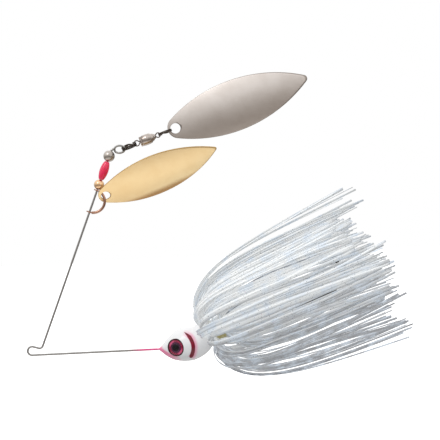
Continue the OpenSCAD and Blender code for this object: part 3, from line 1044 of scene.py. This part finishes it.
def blade_shape(size, place, tip_r, long_r, cross_r=30.0):
    """Crowned willow leaf with its hole at the origin, a round rim and a round tip."""
    length, width, thick, hole_r = size
    back = hole_r + BLADE_RIM
    mid = length * 0.475 - back
    half_w = width / 2
    tip_l = length - back - mid
    side_r = ((tip_l - tip_r) ** 2 + half_w**2 - tip_r**2) / (2 * (half_w - tip_r))
    side_y = side_r - half_w
    end_x = (mid**2 - (side_r - back) ** 2 + side_y**2) / (2 * (mid - side_r + back))
    tip_x = mid + math.sqrt((side_r - tip_r) ** 2 - side_y**2)
    end_turn = math.degrees(math.atan2(side_y, end_x - mid))
    tip_turn = math.degrees(math.atan2(side_y, tip_x - mid))
    outline = (
        arc(Vector((tip_x, 0, 0)), tip_r, -tip_turn, tip_turn, 10)[1:]
        + arc(Vector((mid, 0, -side_y)), side_r, tip_turn, end_turn, 0.9)[1:]
        + arc(Vector((end_x, 0, 0)), end_x + back, end_turn, 360 - end_turn, 8)[1:]
        + arc(Vector((mid, 0, side_y)), side_r, 360 - end_turn, 360 - tip_turn, 0.9)[1:]
    )

    def crown(x, z):
        return (x - mid) ** 2 / (2 * long_r) + z * z / (2 * cross_r) - mid**2 / (2 * long_r)

    edge = 0.5 * thick
    inset = [edge * (1 - math.sin(math.radians(a))) for a in (0, 30, 60, 90)]
    lift = [edge * math.cos(math.radians(a)) for a in (0, 30, 60, 90)]
    spokes = 34
    # each row: share from the hole to the outline, pull-in from either, and height
    rows = [(0.0, i, h) for i, h in zip(inset[::-1], lift[::-1])]
    rows += [((k / spokes) ** 1.15, 0.0, edge) for k in range(1, spokes)]
    rows += [(1.0, i, h) for i, h in zip(inset, lift)]
    rows += [(1.0, i, -h) for i, h in zip(inset[-2::-1], lift[-2::-1])]
    rows += [((k / spokes) ** 1.15, 0.0, -edge) for k in range(spokes - 1, 0, -1)]
    rows += [(0.0, i, -h) for i, h in zip(inset[:-1], lift[:-1])]
    rings, uvs = [], []
    for share, pull, height in rows:
        # V grows from the lower edge to the upper; the blade materials paint shade by it
        uvs += [(share, 0.5 + 0.5 * share * p.z / half_w) for p in outline]
        ring = []
        for p in outline:
            ray = Vector((p.x, 0, p.z)).normalized()
            q = (ray * hole_r).lerp(p, share)
            q += ray * (pull if share == 0.0 else -pull)
            ring.append(place @ Vector((q.x, crown(q.x, q.z) - height, q.z)))
        rings.append(ring)
    shape = Shape()
    shape.rings(rings, uvs, closed=True)
    return shape


def build_blades():
    front_dir = heading(FRONT_ANGLE)
    place = seat(pivot("front_blade_swing"), front_dir)
    place = place @ shift(CLEVIS_R + CLEVIS_REACH, z=BLADE_LIFT) @ turn(FRONT_ROLL, "X")
    # gold: the fourth colour and the pair after it paint shade along the lower edge
    gold = blade_material(
        "gold_plate", rgb(248, 220, 170), rgb(240, 208, 154),
        rgb(176, 140, 82), rgb(190, 168, 150), (0.22, 0.06), 0.36, front_dir, 0.000012
    )
    leaf = blade_shape(FRONT_BLADE, place, tip_r=0.7, long_r=150.0)
    piece("gold_willow", leaf, gold, "front_blade", "front_blade", 50)
    mid_r = (REAR_RING[0] - REAR_RING[1]) / 2
    place = on_chain(pivot("rear_blade_swing"))
    place = place @ shift(mid_r + REAR_BLADE[3] - BALL_SEAT)
    # nickel: the fourth colour and the pair after it paint shade over the lower part
    nickel = blade_material(
        "nickel_plate", rgb(217, 209, 203), rgb(204, 195, 188),
        rgb(120, 110, 102), rgb(232, 229, 226), (0.75, 0.15), 0.32, CHAIN, 0.000012
    )
    leaf = blade_shape(REAR_BLADE, place, tip_r=1.3, long_r=260.0)
    piece("silver_willow", leaf, nickel, "rear_blade", "rear_blade", 50)


# ---------------------------------------------------------------- rings and swivel


def split_ring(name, size, centre, body, node, jog_angle, roll):
    """One wire wound twice, with a step from the first coil to the second."""
    mid_r = (size[0] - size[1]) / 2
    offset = 0.56 * size[1]
    path = []
    steps = 150
    start, end = 0.15, 3.85
    for i in range(steps + 1):
        turns = start + (end - start) * i / steps  # in half turns
        share = min(1.0, max(0.0, (turns - 1.84) / 0.32))
        z = offset * (2 * share * share * (3 - 2 * share) - 1)
        a = math.pi * turns + math.radians(jog_angle)
        path.append(Vector((mid_r * math.cos(a), mid_r * math.sin(a), z)))
    shape = Shape()
    wire = oval(size[1] / 2, size[1] * 0.54, 12, 2.8)
    shape.sweep(path, wire, on_chain(centre) @ turn(roll, "X"), up=(0, 0, 1))
    piece(name, shape, DARK_RING, body, node)


def wire_eye(hole_r, wire_r, leg, place):
    """A loop of wire whose two legs lie side by side along +X."""
    loop_r = hole_r + wire_r
    gap = math.degrees(math.asin(wire_r / loop_r))
    apart = 1.03 * wire_r
    path = [Vector((leg, 0, apart))]
    path += smooth_path(
        [Vector((loop_r + 0.45, 0, apart)), Vector((loop_r + 0.12, 0, wire_r * 1.15)),
         loop_r * heading(gap + 22)], 4)[:-1]
    path += arc(Vector((0, 0, 0)), loop_r, gap + 22, 360 - gap - 22, 10)
    path += smooth_path(
        [loop_r * heading(-gap - 22), Vector((loop_r + 0.12, 0, -wire_r * 1.15)),
         Vector((loop_r + 0.45, 0, -apart))], 4)[1:]
    path += [Vector((leg, 0, -apart))]
    shape = Shape()
    shape.sweep(path, oval(wire_r, wire_r, 12), place)
    return shape


def build_rings_and_swivel():
    mid_front = pivot("front_ring_swing") + CHAIN * (
        (FRONT_RING[0] - FRONT_RING[1]) / 2 + 0.28 - LOOP_END_R
    )
    split_ring("split_ring_front", FRONT_RING, mid_front, "front_ring", "front_split_ring", 75, 13)
    split_ring(
        "split_ring_rear", REAR_RING, pivot("rear_blade_swing"), "rear_ring",
        "rear_split_ring", 100, 0,
    )
    barrel_at = pivot("swivel_spin")
    front_eye = pivot("swivel_tilt")
    rear_eye = pivot("rear_ring_tilt")
    leg = (barrel_at - front_eye).length + FRONT_STEM
    eye = wire_eye(FRONT_EYE_R, EYE_WIRE_R, leg, on_chain(front_eye))
    # the front eye's stem ends in a flange, which turns inside the barrel
    flange = [(1.16, 0.05), (1.16, 1.1), (1.54, 1.1), (1.54, 0.05)]
    eye.lathe(fillet(flange, 0.08), on_chain(barrel_at), 32)
    piece("front_eye_wire", eye, EYE_WIRE, "swivel_eye", "swivel_front_eye")
    leg = (rear_eye - barrel_at).length - REAR_EYE_ROOT
    eye = wire_eye(REAR_EYE_R, EYE_WIRE_R, leg, on_chain(rear_eye) @ turn(180, "Z"))
    piece("rear_eye_wire", eye, EYE_WIRE, "swivel", "swivel_rear_eye")
    outer = [
        (0.0, 1.3), (0.0, 1.66), (0.35, 1.8), (0.8, 1.66), (1.0, 1.86), (2.5, 1.94),
        (3.95, 1.78), (4.3, 1.46), (4.95, 1.26), (5.15, 1.02), (5.6, 0.84), (5.85, 0.56),
        (5.85, 0.42),
    ]
    chamber = [(5.3, 0.4), (1.84, 0.4), (1.84, 1.27), (0.1, 1.27)]
    shape = Shape()
    shape.lathe(fillet(outer, 0.1) + chamber, on_chain(barrel_at), 64, closed=True)
    piece("barrel_shell", shape, SWIVEL, "swivel", "swivel_barrel", 30)


def dress_cad_nodes():
    """Materials of the CAD nodes that stay in view."""
    for node, mat in (("hook", HOOK_STEEL), ("swivel_cap", SWIVEL), ("swivel_balls", BALLS)):
        obj = frame["nodes"][node]
        for spot in obj.material_slots:
            spot.material = mat


# ---------------------------------------------------------------- stage, light and camera

VIEW_CENTRE = Vector((67.89, 0, 42.61)) * MM
VIEW_WIDTH = 154.0 * MM
VIEW_ROLL = 2.75
LENS, SENSOR = 120.0, 36.0


def build_camera():
    data = bpy.data.cameras.new("camera")
    data.lens, data.sensor_width = LENS, SENSOR
    data.clip_start, data.clip_end = 0.01, 20
    cam = in_scene("camera", data)
    right = heading(-VIEW_ROLL)
    back = Vector((0, -1, 0))
    place = Matrix((right, back.cross(right), back)).transposed().to_4x4()
    place.translation = VIEW_CENTRE + back * (VIEW_WIDTH * LENS / SENSOR)
    cam.matrix_world = place
    bpy.context.scene.camera = cam


def build_floor():
    """A pale floor under the part, which mirrors don't see."""
    drop, radius = 18 * MM, 2.5
    mesh = bpy.data.meshes.new("floor")
    z = cad_low.z - drop
    ring = [
        (radius * math.cos(a), radius * math.sin(a), z)
        for a in (2 * math.pi * k / 96 for k in range(96))
    ]
    mesh.from_pydata(ring, [], [tuple(range(96))])
    mat, _, shader, _ = material("floor", (0.9, 0.9, 0.9, 1), 0.9, Emission_Strength=0.6)
    shader.inputs["Emission Color"].default_value = (1, 1, 1, 1)
    mesh.materials.append(mat)
    floor = in_scene("floor", mesh)
    floor.visible_glossy = floor.visible_diffuse = False


def build_world():
    """Bright overhead and in a low band, dim between them, and white to the camera itself."""
    world = bpy.data.worlds.new("studio")
    bpy.context.scene.world = world
    world.use_nodes = True
    tree = world.node_tree
    background = tree.nodes["Background"]
    direction = put(tree, "TexCoord").outputs["Generated"]
    height = put(tree, "SeparateXYZ", {0: direction}).outputs[2]
    ramp = put(tree, "ValToRGB", {0: calc(tree, "MULTIPLY_ADD", height, 0.5, 0.5)})
    stops = (
        (0.0, (0.5, 0.47, 0.43, 1)),
        (0.025, (0.95, 0.93, 0.90, 1)),
        (0.06, (1.2, 1.18, 1.15, 1)),
        (0.15, (1.15, 1.12, 1.08, 1)),
        (0.21, (0.86, 0.83, 0.80, 1)),
        (0.27, (0.50, 0.475, 0.455, 1)),
        (0.35, (0.36, 0.335, 0.315, 1)),
        (0.43, (0.44, 0.42, 0.40, 1)),
        (0.54, (0.68, 0.67, 0.66, 1)),
        (0.66, (1.0, 1.0, 1.0, 1)),
        (0.80, (1.2, 1.2, 1.2, 1)),
        (1.0, (1.2, 1.21, 1.23, 1)),
    )
    table = ramp.color_ramp.elements
    table[0].position, table[0].color = stops[0]
    table[1].position, table[1].color = stops[-1]
    for position, colour in stops[1:-1]:
        table.new(position).color = colour
    path = put(tree, "LightPath").outputs
    share = step_up(tree, height, -0.9, 0.9)
    even = blend(tree, share, (0.39, 0.40, 0.405, 1), (0.95, 0.955, 0.96, 1))
    soft = blend(tree, path["Is Diffuse Ray"], ramp.outputs[0], even)
    direct = calc(tree, "MAXIMUM", path["Is Camera Ray"], path["Is Transmission Ray"])
    colour = blend(tree, direct, soft, (1.0, 1.0, 1.0, 1))
    tree.links.new(colour, background.inputs["Color"])
    background.inputs["Strength"].default_value = 1.0


def area_light(name, place, target, size, power):
    data = bpy.data.lights.new(name, "AREA")
    data.shape, data.size, data.energy = "DISK", size, power
    lamp = in_scene(name, data)
    aim = (Vector(target) - Vector(place)).to_track_quat("-Z", "Y")
    lamp.location, lamp.rotation_mode, lamp.rotation_quaternion = place, "QUATERNION", aim


def build_lights():
    middle = (cad_low + cad_high) / 2
    area_light("key", middle + Vector((-0.35, -0.45, 0.55)), middle, 0.35, 1.1)
    area_light("fill", middle + Vector((0.5, -0.5, 0.15)), middle, 0.5, 0.3)
    area_light("back", middle + Vector((0.1, 0.6, 0.5)), middle, 0.7, 0.4)
    bpy.context.scene.view_settings.view_transform = "Standard"


build_camera()
build_wire()
build_head()
build_keeper()
build_eyes()
build_collar()
build_skirt()
build_clevis()
build_beads()
build_blades()
build_rings_and_swivel()
dress_cad_nodes()
build_floor()
build_world()
build_lights()
